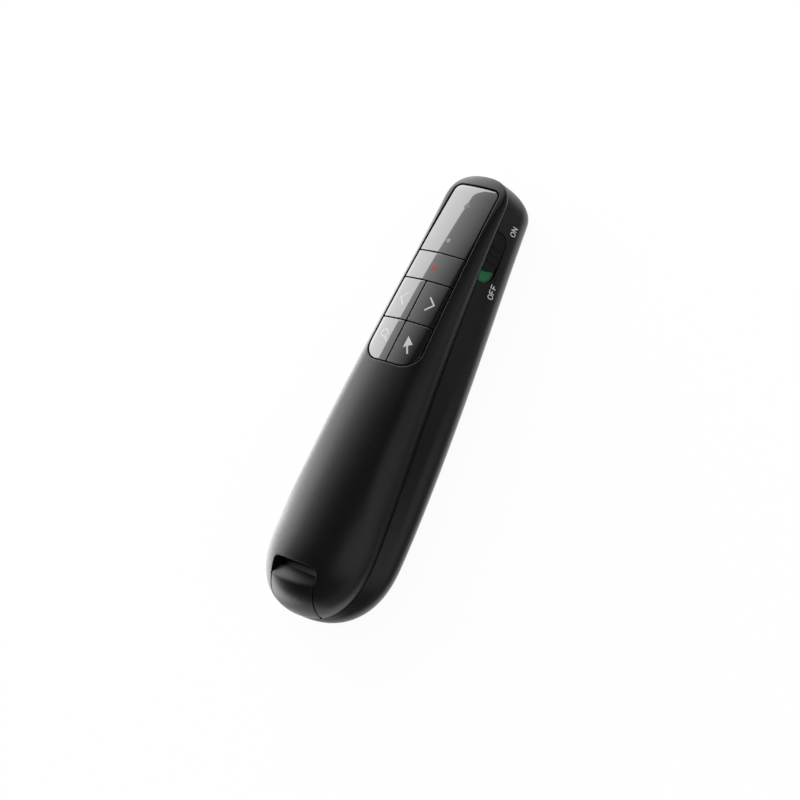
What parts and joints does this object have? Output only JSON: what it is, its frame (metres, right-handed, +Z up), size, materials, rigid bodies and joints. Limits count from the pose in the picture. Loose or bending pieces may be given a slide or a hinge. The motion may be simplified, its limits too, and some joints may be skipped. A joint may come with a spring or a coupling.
{
  "type": "wireless presentation clicker",
  "caption": "Handheld wireless presentation clicker with a humped grip, an inset glossy key panel, a side power slider and a USB receiver stored in its tail.",
  "frame": {"origin": "middle of the footprint, on the underside", "axes": "+Y from the humped tail with the receiver to the slim head with the laser window, +X to the side with the power slider, +Z up"},
  "size_m": [0.0414, 0.14, 0.0252],
  "materials": {
    "housing": "satin black",
    "panel": "gloss black",
    "inner_plastic": "matte black",
    "light_guide": "smoked",
    "mark": "green",
    "steel": "plated sheet",
    "gold": "gold plated",
    "brass": "turned",
    "white_plastic": "matte white",
    "circuit_board": "solder mask",
    "chip": "moulded",
    "lamp": "clear",
    "lens": "smoked red",
    "cell": "plain sleeve"
  },
  "bodies": {
    "housing": {"battery_cell": "cell", "bottom_shell": "housing", "button_frame": "inner_plastic", "colour_mark": "mark", "controller_chip": "chip", "crystal": "steel", "front_window": "panel", "housing_screws": "steel", "indicator_led": "lamp", "indicator_light_guide": "light_guide", "laser_module": "brass", "main_board": "circuit_board", "nose_lens": "lens", "plate_contact": "steel", "radio_chip": "chip", "receiver_dock": "inner_plastic", "slide_switch": "steel", "spring_contact": "steel", "switch_backing": "inner_plastic", "tact_switch_back": "steel", "tact_switch_forward": "steel", "tact_switch_laser": "steel", "tact_switch_pointer": "steel", "tact_switch_zoom": "steel", "top_shell": "housing"},
    "laser_button_body": {"laser_button": "panel"},
    "back_button_body": {"back_button": "panel"},
    "forward_button_body": {"forward_button": "panel"},
    "zoom_button_body": {"zoom_button": "panel"},
    "pointer_button_body": {"pointer_button": "panel"},
    "slider": {"power_slider": "housing", "switch_lever": "inner_plastic"},
    "receiver": {"receiver_cap": "housing", "plug_shell": "steel", "plug_tongue": "white_plastic", "plug_contacts": "gold", "receiver_board": "circuit_board"},
    "cover": {"battery_cover": "housing"}
  },
  "joints": [
    {"name": "laser_press", "type": "slide", "parent": "housing", "child": "laser_button_body", "axis": [0, 0, -1], "range_m": [0, 0.0004], "stiffness_N_per_m": 500},
    {"name": "back_press", "type": "slide", "parent": "housing", "child": "back_button_body", "axis": [0, 0, -1], "range_m": [0, 0.0004], "stiffness_N_per_m": 500},
    {"name": "forward_press", "type": "slide", "parent": "housing", "child": "forward_button_body", "axis": [0, 0, -1], "range_m": [0, 0.0004], "stiffness_N_per_m": 500},
    {"name": "zoom_press", "type": "slide", "parent": "housing", "child": "zoom_button_body", "axis": [0, 0, -1], "range_m": [0, 0.0004], "stiffness_N_per_m": 500},
    {"name": "pointer_press", "type": "slide", "parent": "housing", "child": "pointer_button_body", "axis": [0, 0, -1], "range_m": [0, 0.0004], "stiffness_N_per_m": 500},
    {"name": "power_slide", "type": "slide", "parent": "housing", "child": "slider", "axis": [0.0339, -0.9994, -0.0093], "range_m": [0, 0.0034]},
    {"name": "receiver_pull", "type": "slide", "parent": "housing", "child": "receiver", "axis": [0, -1, 0], "range_m": [0, 0.024]},
    {"name": "cover_removal", "type": "slide", "parent": "housing", "child": "cover", "axis": [0, 0, -1], "range_m": [0, 0.012]}
  ]
}
